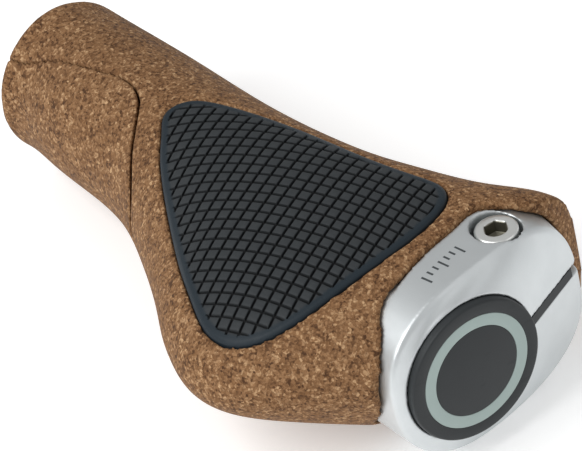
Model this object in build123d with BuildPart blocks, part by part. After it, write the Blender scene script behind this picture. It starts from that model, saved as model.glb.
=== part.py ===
from build123d import *
import os
from collections import namedtuple
from math import cos, pi, radians, sin

# Ergonomic handlebar grip with an end clamp, right-hand side, in millimetres.
# X runs along the bar, outboard. +Y is the front, where the fingers close. +Z is up.
# The origin is on the bar's axis, at the sleeve's inboard mouth.

# ---------------------------------------------------------------- driving dimensions
BAR_R = 11.1              # a 22.2 mm handlebar
SLEEVE_BORE_R = 11.13     # slides over the bar
SLEEVE_R = 12.7           # outside of the hard sleeve
REACH = 60.0              # half the size of a cutter that runs past the whole grip
COVER_END = 116.0         # where the cork stops against the clamp
CLAMP_START = 116.25      # inboard face of the clamp
JOINT_GAP = CLAMP_START - COVER_END
CLAMP_END = 132.4         # outboard face of the clamp
INNER_EDGE_R = 1.4        # rounding of the cork at its inner end
LIP_R = 11.9              # mouth of the cork lip over the sleeve's inner end
LIP_REACH = 5.0           # depth of the cutter that opens the lip

# One cross-section of a skin: where it lies, and its front, rear, top and bottom points.
# squareness holds the superellipse exponent of each quarter, from top-front round by the rear.
Station = namedtuple("Station", "x front rear top bottom squareness")

# ---------------------------------------------------------------- the cork's outer skin
GRIP_STATIONS = (
    Station(-1.0, (15.4, -0.2), (-16.3, -0.2), (-0.4, 15.6), (-0.4, -16.2), (2.0, 2.0, 2.0, 2.0)),
    Station(18.0, (16.2, 0.2), (-16.2, 0.0), (-0.1, 16.6), (-0.1, -16.1), (2.0, 2.0, 2.0, 2.0)),
    Station(36.0, (16.8, 0.8), (-16.8, 0.0), (0.0, 17.3), (0.0, -16.0), (2.0, 2.0, 2.0, 2.0)),
    Station(50.0, (16.9, 1.4), (-19.9, 0.4), (0.3, 18.1), (0.0, -16.1), (2.0, 2.0, 2.0, 2.0)),
    Station(62.0, (17.5, 2.0), (-24.6, 0.9), (1.2, 18.7), (0.0, -16.4), (2.0, 2.1, 1.9, 2.0)),
    Station(74.0, (19.0, 2.4), (-30.0, 1.4), (3.0, 19.0), (0.4, -16.8), (2.0, 2.2, 1.8, 2.0)),
    Station(86.0, (21.8, 2.4), (-36.2, 1.8), (5.2, 19.2), (1.0, -17.2), (2.0, 2.3, 1.7, 2.0)),
    Station(97.0, (26.0, 1.6), (-40.0, 2.1), (7.2, 19.3), (2.0, -17.7), (2.1, 2.3, 1.7, 2.1)),
    Station(106.0, (30.2, 0.0), (-39.8, 2.4), (8.6, 19.3), (3.0, -18.2), (2.25, 2.3, 1.6, 2.3)),
    Station(113.0, (34.0, -2.0), (-36.0, 2.7), (9.6, 19.2), (4.0, -18.8), (2.6, 2.3, 1.5, 2.4)),
    Station(119.0, (36.8, -3.5), (-30.2, 2.9), (9.8, 18.9), (4.0, -19.2), (2.9, 2.3, 1.45, 2.5)),
    Station(124.5, (37.2, -4.0), (-23.8, 3.0), (8.0, 17.8), (3.0, -18.4), (2.9, 2.2, 1.4, 2.4)),
    Station(130.0, (37.2, -4.0), (-17.6, 3.0), (6.0, 16.0), (2.0, -16.8), (2.9, 2.1, 1.5, 2.4)),
)
POINTS_PER_QUARTER = 6

# ---------------------------------------------------------------- the clamp's outer skin
CREASE_LEAN = 7.0         # degrees: the crease plane leans inboard towards the ear
CREASE_X = 129.8          # where the crease plane crosses the bar's axis
CAP_SEAT_R = 14.8         # rim of the clamp's round end face
CLAMP_FOOT = Station(CLAMP_START, (32.0, -4.0), (-17.6, 0.0), (8.0, 18.2), (4.0, -20.0), (2.9, 2.8, 2.1, 2.4))
CLAMP_BAND = Station(CREASE_X - 0.5, (30.8, -4.0), (-17.3, 0.0), (7.8, 17.9), (4.0, -19.9), (2.9, 2.7, 2.1, 2.4))
CLAMP_CREASE = Station(CREASE_X + 0.1, (30.0, -3.8), (-16.9, 0.0), (7.6, 17.3), (4.0, -19.3),
                       (2.9, 2.6, 2.1, 2.4))
CLAMP_RIM = Station(CLAMP_END, (CAP_SEAT_R, 0.0), (-CAP_SEAT_R, 0.0), (0.0, CAP_SEAT_R), (0.0, -CAP_SEAT_R),
                    (2.0, 2.0, 2.0, 2.0))
CLAMP_LEANS = (0.0, CREASE_LEAN, CREASE_LEAN, 0.0)
SLIT_WIDTH = 2.0
SLIT_Z = 1.4             # middle height of the slit
BAR_PLAY = 0.02          # clearance of the open clamp on the bar
SPACER_PLAN = ((128.2, 13.0), (124.0, 24.0), (119.5, 28.4), (132.0, 28.4), (140.0, 13.0))
SPACER_PLAY = 0.3        # clearance round the bolt

# ---------------------------------------------------------------- palm pad
PAD_DEPTH = 2.2           # how far it is let into the cork
PAD_PROUD = 0.25          # how far it stands above the cork
PAD_LOW_Z = 4.0           # the pad lies between these heights
PAD_HIGH_Z = 32.0
PAD_OUTLINE = ((46.9, -3.8), (49.2, 1.0), (54.6, 4.0), (63.0, 7.1), (75.0, 10.5), (89.0, 12.9), (101.0, 15.7),
               (106.6, 16.7), (110.8, 15.0), (113.6, 10.6), (115.2, 4.0), (115.7, -6.0), (115.1, -16.5),
               (113.6, -24.5), (110.4, -30.7), (105.6, -34.1), (99.6, -34.4), (93.0, -32.2), (84.0, -28.4),
               (71.4, -22.0), (61.5, -16.4), (54.0, -11.3), (49.6, -7.6))

# ---------------------------------------------------------------- barrel panel
PANEL_SEAM = 0.3          # gap between the panel and the rest of the cork
PANEL_EDGE = ((-4.0, -12.4), (1.0, -10.7), (9.0, -8.2), (17.0, -6.5), (25.0, -4.8), (31.0, -3.5), (35.0, -3.8),
              (38.0, -5.0), (40.8, -7.3), (43.4, -10.3), (46.6, -13.8), (50.0, -16.9), (52.8, -19.6), (54.5, -25.0))

# ---------------------------------------------------------------- core sleeve and wing frame
FLANGE_T = 3.2            # end flange, against the clamp
FLANGE_INSET = 3.4        # cork over the flange's rim
PADDLE_T = 2.6            # plates that stiffen the wing and the nose
PADDLE_Z = 2.6            # middle height of the plates
RIB_COUNT = 6             # ribs that stop the cork turning on the sleeve
RIB_W = 2.4
RIB_H = 1.1
RIB_TURN = 30
DOG_R = 14.4              # middle radius of the dogs that key the sleeve to the clamp
DOG_SIZE = (2.6, 2.6, 6.0)     # along the bar, radial, round the bar
DOG_ANGLES = (90, 180, 270)
DOG_PLAY = 0.1

RIB_START = 6.0
RIB_END = 60.0
FLANGE_FACE_R = 17.6      # round face that meets the clamp
WING_PADDLE = ((54, -10), (72, -22), (86, -30), (97, -33), (107, -32), (COVER_END - 1, -25), (COVER_END - 1, -10))
NOSE_PADDLE = ((84, 10), (98, 19), (108, 24), (COVER_END - 1, 26), (COVER_END - 1, 10))
PADDLE_CORNER_R = 3.0

# ---------------------------------------------------------------- joint between cork and clamp
JOINT_FAR_X = COVER_END + 54.0
JOINT_LINE = ((117.2, 38.0), (119.6, 34.2), (121.6, 29.8), (122.0, 25.3), (120.0, 21.7), (117.4, 19.0),
              (116.5, 16.0), (117.6, 11.5), (118.7, 5.9), (119.9, 0.5), (121.2, -4.8), (122.9, -9.7),
              (125.2, -12.5), (128.4, -13.0), (129.7, -14.2), (129.0, -17.0), (128.6, -20.0))
REBATE_Z = 16.2           # floor of the clamp's step under the cork's lip
JOINT_UNDER = ((128.8, -2.0), (121.0, -10.0), (COVER_END, -20.0), (COVER_END, -REACH), (JOINT_FAR_X, -REACH),
               (JOINT_FAR_X, -2.0))

# ---------------------------------------------------------------- bolt, M5 socket head
BOLT_X = 122.6
BOLT_Y = 16.6
BOLT_R = 2.5
BOLT_LENGTH = 20.0
HEAD_R = 4.25
HEAD_H = 5.0
HEAD_TOP_Z = 17.0
HEX_ACROSS_FLATS = 4.0
HEX_DEPTH = 2.6
WASHER_R = 4.5
WASHER_T = 0.8
WASHER_HOLE_R = BOLT_R + 0.1
COUNTERBORE_R = 4.9
SHANK_HOLE_R = 2.75
THREAD_HOLE_R = 2.55
HEAD_CHAMFER = 0.5
HEAD_BASE_Z = HEAD_TOP_Z - HEAD_H
WASHER_SEAT_Z = HEAD_BASE_Z - WASHER_T

# ---------------------------------------------------------------- end cap
CAP_R = 14.35
CAP_RECESS_R = 14.45
CAP_SEAT_DEPTH = 1.4      # how deep the disc sits in the clamp
CAP_PROUD = 1.6           # how far it stands out of the clamp
CAP_CHAMFER = 0.6
SKIRT_R = 12.65
SKIRT_BORE_R = 12.7
SKIRT_WALL = 1.2
SKIRT_LENGTH = 3.0
SKIRT_SLOTS = 6
SKIRT_SLOT_W = 1.6
SKIRT_SLOT_DEPTH = 4 * SKIRT_WALL
SKIRT_END_GAP = 0.3
RING_OUTER_R = 11.7
RING_INNER_R = 9.2
RING_T = 0.8


# ---------------------------------------------------------------- skins
def quarter(start, end, exponent, start_is_crest):
    """Points of one superellipse quarter from start up to, but not with, end."""
    points = []
    for step in range(POINTS_PER_QUARTER):
        turn = pi / 2 * step / POINTS_PER_QUARTER
        along = sin(turn) ** (2 / exponent)
        across = cos(turn) ** (2 / exponent)
        if start_is_crest:
            y = start[0] + (end[0] - start[0]) * along
            z = end[1] + (start[1] - end[1]) * across
        else:
            y = end[0] + (start[0] - end[0]) * across
            z = start[1] + (end[1] - start[1]) * along
        points.append((y, z))
    return points


def outline(station, inset=0.0):
    """Closed cross-section through the station's four points, shrunk by inset."""
    front = (station.front[0] - inset, station.front[1])
    rear = (station.rear[0] + inset, station.rear[1])
    top = (station.top[0], station.top[1] - inset)
    bottom = (station.bottom[0], station.bottom[1] + inset)
    top_front, top_rear, bottom_rear, bottom_front = station.squareness
    return (quarter(front, top, top_front, False) + quarter(top, rear, top_rear, True)
            + quarter(rear, bottom, bottom_rear, False) + quarter(bottom, front, bottom_front, True))


def cross_plane(x, lean=0.0):
    """Plane across the bar at x, leaning inboard towards the front by lean degrees."""
    outboard = Vector(cos(radians(lean)), sin(radians(lean)), 0)
    forward = Vector(-sin(radians(lean)), cos(radians(lean)), 0)
    return Plane(origin=(x, 0, 0), x_dir=forward, z_dir=outboard)


def skin(stations, leans=None, inset=0.0, ruled=False):
    """Closed solid lofted through the cross-sections."""
    leans = leans or [0.0] * len(stations)
    with BuildPart() as solid:
        for station, lean in zip(stations, leans):
            with BuildSketch(cross_plane(station.x, lean)):
                with BuildLine():
                    Spline(*outline(station, inset), periodic=True)
                make_face()
        loft(ruled=ruled)
    return solid.part


def prism(points, low, high):
    """Upright solid over a smooth closed plan outline."""
    with BuildPart() as solid:
        with BuildSketch(Plane.XY.offset(low)):
            with BuildLine():
                Spline(*points, periodic=True)
            make_face()
        extrude(amount=high - low)
    return solid.part


grip_skin = skin(GRIP_STATIONS)
pad_top_skin = skin(GRIP_STATIONS, inset=-PAD_PROUD)
pad_floor_skin = skin(GRIP_STATIONS, inset=PAD_DEPTH)
flange_skin = skin(GRIP_STATIONS, inset=FLANGE_INSET)
clamp_skin = skin((CLAMP_FOOT, CLAMP_BAND, CLAMP_CREASE, CLAMP_RIM), CLAMP_LEANS, ruled=True)
clamp_clear_skin = skin((CLAMP_FOOT._replace(x=COVER_END), CLAMP_BAND, CLAMP_CREASE, CLAMP_RIM), CLAMP_LEANS,
                        inset=-JOINT_GAP, ruled=True)
pad_prism = prism(PAD_OUTLINE, PAD_LOW_Z, PAD_HIGH_Z)


def joint_prism(shift, edge_x, low):
    """Upright solid on one side of the joint line, moved along the bar by shift, from a height up."""
    points = [(x + shift, y) for x, y in JOINT_LINE]
    first, last = points[0], points[-1]
    with BuildPart() as solid:
        with BuildSketch(Plane.XY.offset(low)):
            with BuildLine():
                Spline(*points)
                Polyline(last, (last[0], -REACH), (edge_x, -REACH), (edge_x, REACH), (first[0], REACH), first)
            make_face()
        extrude(amount=2 * REACH)
    return solid.part


# Outboard of the joint line the cork keeps clear of the clamp. Inboard of it the clamp has a step,
# and the cork's lip lies over that step.
joint_front = joint_prism(0.0, JOINT_FAR_X, -REACH)
clamp_rebate = joint_prism(JOINT_GAP, 0.0, REBATE_Z)
lip_room = joint_prism(0.0, 0.0, REBATE_Z + JOINT_GAP)

with BuildPart() as joint_under:
    with BuildSketch(Plane.XZ.offset(-REACH)):
        with BuildLine():
            Polyline(*JOINT_UNDER, close=True)
        make_face()
    extrude(amount=2 * REACH)

joint_zone = joint_front + joint_under.part + (clamp_clear_skin - lip_room)


# ---------------------------------------------------------------- core sleeve and wing frame
def core_plate(points):
    """Flat stiffening plate inside the cork, beside the bar."""
    with BuildPart() as plate:
        with BuildSketch(Plane.XY.offset(PADDLE_Z - PADDLE_T / 2)):
            with BuildLine():
                Polyline(*points, close=True)
            make_face()
            fillet(vertices(), radius=PADDLE_CORNER_R)
        extrude(amount=PADDLE_T)
    return plate.part


wing_paddle = core_plate(WING_PADDLE)
nose_paddle = core_plate(NOSE_PADDLE)
with BuildPart() as end_flange:
    with BuildSketch(Plane.YZ.offset(COVER_END - FLANGE_T)):
        Rectangle(2 * REACH, 2 * REACH)
    extrude(amount=FLANGE_T)
    add(flange_skin, mode=Mode.INTERSECT)

with BuildPart() as wing_frame:
    add(wing_paddle)
    add(nose_paddle)
    add(end_flange.part)
    with BuildSketch(Plane.YZ.offset(COVER_END)):
        Circle(FLANGE_FACE_R)
    extrude(amount=JOINT_GAP)
    for angle in DOG_ANGLES:
        with BuildSketch(Plane.YZ.offset(CLAMP_START)):
            with PolarLocations(DOG_R, 1, start_angle=angle):
                Rectangle(DOG_SIZE[1], DOG_SIZE[2])
        extrude(amount=DOG_SIZE[0])
    with BuildSketch(Plane.YZ):
        Circle(SLEEVE_R)
    extrude(amount=CLAMP_START, mode=Mode.SUBTRACT)

with BuildPart() as sleeve_blank:
    with BuildSketch(Plane.YZ):
        Circle(SLEEVE_R)
    extrude(amount=CLAMP_START)
    with BuildSketch(Plane.YZ.offset(RIB_START)):
        with PolarLocations(SLEEVE_R, RIB_COUNT, start_angle=RIB_TURN):
            Rectangle(2 * RIB_H, RIB_W)
    extrude(amount=RIB_END - RIB_START)

with BuildPart() as core_sleeve:
    add(sleeve_blank.part)
    with BuildSketch(Plane.YZ):
        Circle(SLEEVE_BORE_R)
    extrude(amount=CLAMP_START, mode=Mode.SUBTRACT)


# ---------------------------------------------------------------- cork, panel and pad
def panel_prism(seam):
    """Upright solid behind the panel's edge line, moved outward by seam."""
    points = [(x + seam, y + seam) for x, y in PANEL_EDGE]
    first, last = points[0], points[-1]
    with BuildPart() as solid:
        with BuildSketch(Plane.XY.offset(-REACH)):
            with BuildLine():
                Spline(*points)
                Polyline(last, (last[0], -REACH), (first[0], -REACH), first)
            make_face()
        extrude(amount=2 * REACH)
    return solid.part


panel_tool = panel_prism(0.0)
seam_tool = panel_prism(PANEL_SEAM)

with BuildPart() as cork_blank:
    add(grip_skin)
    fillet(edges().group_by(Axis.X)[0], radius=INNER_EDGE_R)
    add(sleeve_blank.part, mode=Mode.SUBTRACT)
    add(wing_frame.part, mode=Mode.SUBTRACT)
    with BuildSketch(Plane.YZ):
        Circle(LIP_R)
    extrude(amount=-LIP_REACH, mode=Mode.SUBTRACT)

with BuildPart() as barrel_panel:
    add(cork_blank.part)
    add(panel_tool, mode=Mode.INTERSECT)

with BuildPart() as pad_pocket:
    add(pad_prism)
    add(pad_floor_skin, mode=Mode.SUBTRACT)

with BuildPart() as palm_pad:
    add(pad_top_skin)
    add(pad_pocket.part, mode=Mode.INTERSECT)

with BuildPart() as cork_body:
    add(cork_blank.part)
    add(seam_tool, mode=Mode.SUBTRACT)
    add(joint_zone, mode=Mode.SUBTRACT)
    add(pad_pocket.part, mode=Mode.SUBTRACT)

# ---------------------------------------------------------------- clamp
with BuildPart() as clamp_body:
    add(clamp_skin)
    add(clamp_rebate, mode=Mode.SUBTRACT)
    with BuildSketch(Plane.YZ.offset(CLAMP_START)):
        Circle(BAR_R + BAR_PLAY)
    extrude(amount=CLAMP_END - CLAMP_START, mode=Mode.SUBTRACT)
    with BuildSketch(Plane.YZ.offset(CLAMP_END - CAP_SEAT_DEPTH - SKIRT_LENGTH - SKIRT_END_GAP)):
        Circle(SKIRT_BORE_R)
    extrude(amount=CLAMP_END - CLAMP_START, mode=Mode.SUBTRACT)
    with BuildSketch(Plane.YZ.offset(CLAMP_END - CAP_SEAT_DEPTH)):
        Circle(CAP_RECESS_R)
    extrude(amount=2 * CAP_SEAT_DEPTH, mode=Mode.SUBTRACT)
    for angle in DOG_ANGLES:
        with BuildSketch(Plane.YZ.offset(CLAMP_START)):
            with PolarLocations(DOG_R, 1, start_angle=angle):
                Rectangle(DOG_SIZE[1] + 2 * DOG_PLAY, DOG_SIZE[2] + 2 * DOG_PLAY)
        extrude(amount=DOG_SIZE[0] + DOG_PLAY, mode=Mode.SUBTRACT)
    with BuildSketch(Plane.XY.offset(SLIT_Z - SLIT_WIDTH / 2)):
        with Locations((CLAMP_START, BAR_R - 1)):
            Rectangle(REACH, REACH, align=(Align.MIN, Align.MIN))
    extrude(amount=SLIT_WIDTH, mode=Mode.SUBTRACT)
    with BuildSketch(Plane.XY.offset(WASHER_SEAT_Z)):
        with Locations((BOLT_X, BOLT_Y)):
            Circle(COUNTERBORE_R)
    extrude(amount=REACH, mode=Mode.SUBTRACT)
    with BuildSketch(Plane.XY):
        with Locations((BOLT_X, BOLT_Y)):
            Circle(SHANK_HOLE_R)
    extrude(amount=REACH, mode=Mode.SUBTRACT)
    with BuildSketch(Plane.XY):
        with Locations((BOLT_X, BOLT_Y)):
            Circle(THREAD_HOLE_R)
    extrude(amount=-REACH, mode=Mode.SUBTRACT)

with BuildPart() as slot_spacer:
    with BuildSketch(Plane.XY.offset(SLIT_Z - SLIT_WIDTH / 2)):
        with BuildLine():
            Polyline(*SPACER_PLAN, close=True)
        make_face()
    extrude(amount=SLIT_WIDTH)
    add(clamp_skin, mode=Mode.INTERSECT)
    with BuildSketch(Plane.XY.offset(SLIT_Z - SLIT_WIDTH)):
        with Locations((BOLT_X, BOLT_Y)):
            Circle(SHANK_HOLE_R + SPACER_PLAY)
    extrude(amount=2 * SLIT_WIDTH, mode=Mode.SUBTRACT)
    with BuildSketch(Plane.YZ.offset(CLAMP_START)):
        Circle(CAP_RECESS_R)
    extrude(amount=2 * (CLAMP_END - CLAMP_START), mode=Mode.SUBTRACT)

# ---------------------------------------------------------------- bolt and washer
with BuildPart() as bolt_washer:
    with BuildSketch(Plane.XY.offset(WASHER_SEAT_Z)):
        with Locations((BOLT_X, BOLT_Y)):
            Circle(WASHER_R)
            Circle(WASHER_HOLE_R, mode=Mode.SUBTRACT)
    extrude(amount=WASHER_T)

with BuildPart() as pinch_bolt:
    with BuildSketch(Plane.XY.offset(HEAD_BASE_Z)):
        with Locations((BOLT_X, BOLT_Y)):
            Circle(HEAD_R)
    extrude(amount=HEAD_H)
    chamfer(edges().group_by(Axis.Z)[-1], length=HEAD_CHAMFER)
    with BuildSketch(Plane.XY.offset(HEAD_BASE_Z)):
        with Locations((BOLT_X, BOLT_Y)):
            Circle(BOLT_R)
    extrude(amount=-BOLT_LENGTH)
    chamfer(edges().group_by(Axis.Z)[0], length=HEAD_CHAMFER)
    with BuildSketch(Plane.XY.offset(HEAD_TOP_Z)):
        with Locations((BOLT_X, BOLT_Y)):
            RegularPolygon(HEX_ACROSS_FLATS / 2, 6, major_radius=False)
    extrude(amount=-HEX_DEPTH, mode=Mode.SUBTRACT)

# ---------------------------------------------------------------- end cap and its ring
with BuildPart() as end_cap:
    with BuildSketch(Plane.YZ.offset(CLAMP_END - CAP_SEAT_DEPTH)):
        Circle(CAP_R)
    extrude(amount=CAP_SEAT_DEPTH + CAP_PROUD)
    chamfer(edges().group_by(Axis.X)[-1], length=CAP_CHAMFER)
    with BuildSketch(Plane.YZ.offset(CLAMP_END - CAP_SEAT_DEPTH)):
        Circle(SKIRT_R)
        Circle(SKIRT_R - SKIRT_WALL, mode=Mode.SUBTRACT)
        with PolarLocations(SKIRT_R, SKIRT_SLOTS):
            Rectangle(SKIRT_SLOT_DEPTH, SKIRT_SLOT_W, mode=Mode.SUBTRACT)
    extrude(amount=-SKIRT_LENGTH)
    with BuildSketch(Plane.YZ.offset(CLAMP_END + CAP_PROUD - RING_T)):
        Circle(RING_OUTER_R)
        Circle(RING_INNER_R, mode=Mode.SUBTRACT)
    extrude(amount=RING_T, mode=Mode.SUBTRACT)

with BuildPart() as cap_ring:
    with BuildSketch(Plane.YZ.offset(CLAMP_END + CAP_PROUD - RING_T)):
        Circle(RING_OUTER_R)
        Circle(RING_INNER_R, mode=Mode.SUBTRACT)
    extrude(amount=RING_T)

# ---------------------------------------------------------------- parts written out
os.makedirs("parts", exist_ok=True)
PIECES = {
    "core_sleeve": core_sleeve,
    "wing_frame": wing_frame,
    "cork_body": cork_body,
    "barrel_panel": barrel_panel,
    "palm_pad": palm_pad,
    "clamp_body": clamp_body,
    "slot_spacer": slot_spacer,
    "bolt_washer": bolt_washer,
    "pinch_bolt": pinch_bolt,
    "end_cap": end_cap,
    "cap_ring": cap_ring,
}
for label, piece in PIECES.items():
    piece.part.label = label
    export_step(piece.part, f"parts/{label}.step")
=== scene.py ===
"""Looks of the handlebar grip with its end clamp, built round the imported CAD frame.

Every length is in metres, in the part's own frame: +X outboard along the bar, +Y to the
front, +Z up along the pinch bolt. Each sub-assembly is a class that builds its meshes and
dresses them; each finish is a frozen dataclass that builds one material.
"""
import logging
import math
from dataclasses import dataclass
from enum import Enum
from typing import Any, Callable, Optional, Sequence, Union

import bmesh
import bpy
import numpy as np
from mathutils import Matrix, Vector
from mathutils.bvhtree import BVHTree


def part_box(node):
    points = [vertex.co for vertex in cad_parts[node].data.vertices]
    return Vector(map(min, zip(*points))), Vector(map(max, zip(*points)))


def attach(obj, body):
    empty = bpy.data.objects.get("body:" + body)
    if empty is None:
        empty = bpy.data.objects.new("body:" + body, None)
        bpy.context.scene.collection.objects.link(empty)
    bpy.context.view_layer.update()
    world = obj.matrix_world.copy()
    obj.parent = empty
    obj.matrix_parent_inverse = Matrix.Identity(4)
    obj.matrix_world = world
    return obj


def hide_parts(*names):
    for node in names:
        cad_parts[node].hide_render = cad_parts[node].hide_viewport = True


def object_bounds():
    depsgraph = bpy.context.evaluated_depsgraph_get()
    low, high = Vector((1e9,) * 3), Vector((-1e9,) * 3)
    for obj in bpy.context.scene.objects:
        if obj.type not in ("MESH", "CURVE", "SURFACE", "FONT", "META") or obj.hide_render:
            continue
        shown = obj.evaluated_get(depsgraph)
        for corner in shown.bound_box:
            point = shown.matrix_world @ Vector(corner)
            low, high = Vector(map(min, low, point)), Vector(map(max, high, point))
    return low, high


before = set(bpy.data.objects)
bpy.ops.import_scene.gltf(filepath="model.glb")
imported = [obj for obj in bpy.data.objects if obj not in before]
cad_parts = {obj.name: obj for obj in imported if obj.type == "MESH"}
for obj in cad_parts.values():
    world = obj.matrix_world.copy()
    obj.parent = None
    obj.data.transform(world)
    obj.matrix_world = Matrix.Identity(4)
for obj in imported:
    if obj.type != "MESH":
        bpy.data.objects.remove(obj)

log = logging.getLogger("grip")
MM = 0.001
CAD_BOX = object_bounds()
WELD = 0.002 * MM
RAY_START = 0.1
DOWN = Vector((0, 0, -1))
Colour = tuple[float, float, float]
Operand = Union["Signal", float]
Inputs = dict[Union[int, str], Any]
Piece = bpy.types.Object
Material = bpy.types.Material
Socket = bpy.types.NodeSocket
Faces = list[tuple[int, ...]]
Profile = list[tuple[float, float]]
RadiusRule = Callable[[int, float, float], float]


# ---- shader expressions
class Channel(Enum):
    """How a wrapped socket is added up: as a number, a colour or a vector."""

    VALUE = "value"
    COLOUR = "colour"
    VECTOR = "vector"


class Signal:
    """A node socket that can be used in Python expressions."""

    def __init__(self, bench: "Bench", socket: Socket, channel: Channel = Channel.VALUE) -> None:
        """Wraps a socket.

        Args:
            bench: the material's bench, which adds the nodes an expression needs.
            socket: the output socket to wrap.
            channel: what the socket carries.
        """
        self.bench = bench
        self.socket = socket
        self.channel = channel

    def _join(self, operation: str, other: Operand, swapped: bool = False) -> "Signal":
        """Adds a Math or Vector Math node for one operator.

        Args:
            operation: the node's operation.
            other: the other operand.
            swapped: whether the other operand comes first.

        Returns:
            The node's result.
        """
        pair = (other, self) if swapped else (self, other)
        is_vector = self.channel is Channel.VECTOR
        kind = "ShaderNodeVectorMath" if is_vector else "ShaderNodeMath"
        channel = Channel.VECTOR if is_vector else Channel.VALUE
        inputs = dict(enumerate(pair))
        return self.bench.node(kind, {"operation": operation}, inputs, channel=channel)

    def __add__(self, other: Operand) -> "Signal":
        """Sum."""
        return self._join("ADD", other)

    def __radd__(self, other: float) -> "Signal":
        """Sum with a plain number first."""
        return self._join("ADD", other, True)

    def __sub__(self, other: Operand) -> "Signal":
        """Difference."""
        return self._join("SUBTRACT", other)

    def __rsub__(self, other: float) -> "Signal":
        """A plain number minus this."""
        return self._join("SUBTRACT", other, True)

    def __mul__(self, other: Operand) -> "Signal":
        """Product."""
        return self._join("MULTIPLY", other)

    def __rmul__(self, other: float) -> "Signal":
        """Product with a plain number first."""
        return self._join("MULTIPLY", other, True)

    def above(self, threshold: float, softness: float) -> "Signal":
        """A mask that rises from 0 to 1 round a threshold.

        Args:
            threshold: the middle of the rise.
            softness: half the width of the rise.

        Returns:
            The mask.
        """
        inputs = {"Value": self, "From Min": threshold - softness, "From Max": threshold + softness}
        return self.bench.node("ShaderNodeMapRange", {"interpolation_type": "SMOOTHSTEP"}, inputs)

    def below(self, threshold: float, softness: float) -> "Signal":
        """A mask that falls from 1 to 0 round a threshold."""
        return 1 - self.above(threshold, softness)


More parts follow.
